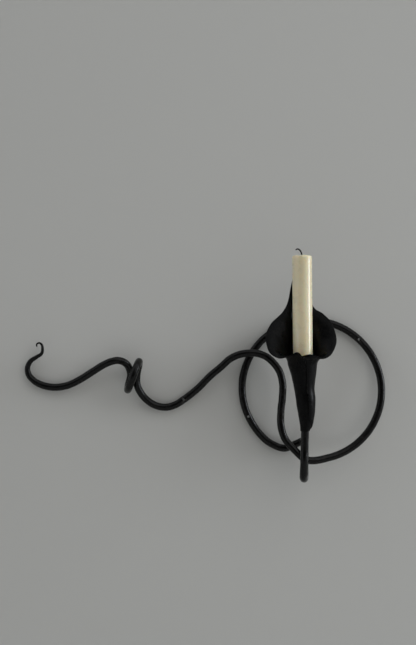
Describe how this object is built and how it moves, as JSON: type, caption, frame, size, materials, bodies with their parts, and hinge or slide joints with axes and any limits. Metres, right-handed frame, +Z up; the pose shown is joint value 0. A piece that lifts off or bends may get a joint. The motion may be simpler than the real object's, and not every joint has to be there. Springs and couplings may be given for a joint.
{
  "type": "candle wall sconce",
  "caption": "Forged scrolled bar on a wall, carrying a rolled calla flower of sheet iron that holds one lift-out pillar candle.",
  "frame": {"origin": "where the middle of the upper ring hole meets the wall, the wall being the plane y = 0", "axes": "+X to the right along the wall, -Y out from the wall, +Z up"},
  "size_m": [0.44, 0.1116, 0.266],
  "materials": {
    "forged_iron": "hammered, blackened and waxed",
    "sheet_iron": "blackened and waxed sheet, lightly hammered",
    "cup_iron": "blackened",
    "candle_wax": "ivory wax, satin",
    "burnt_wick": "charred cotton braid"
  },
  "bodies": {
    "sconce": {"vine_bar": "forged_iron", "calla_spathe": "sheet_iron", "candle_cup": "cup_iron"},
    "candle": {"candle": "candle_wax", "wick": "burnt_wick"}
  },
  "joints": [
    {"name": "candle_lift", "type": "slide", "parent": "sconce", "child": "candle", "axis": [0, 0, 1], "range_m": [0, 0.125]}
  ]
}
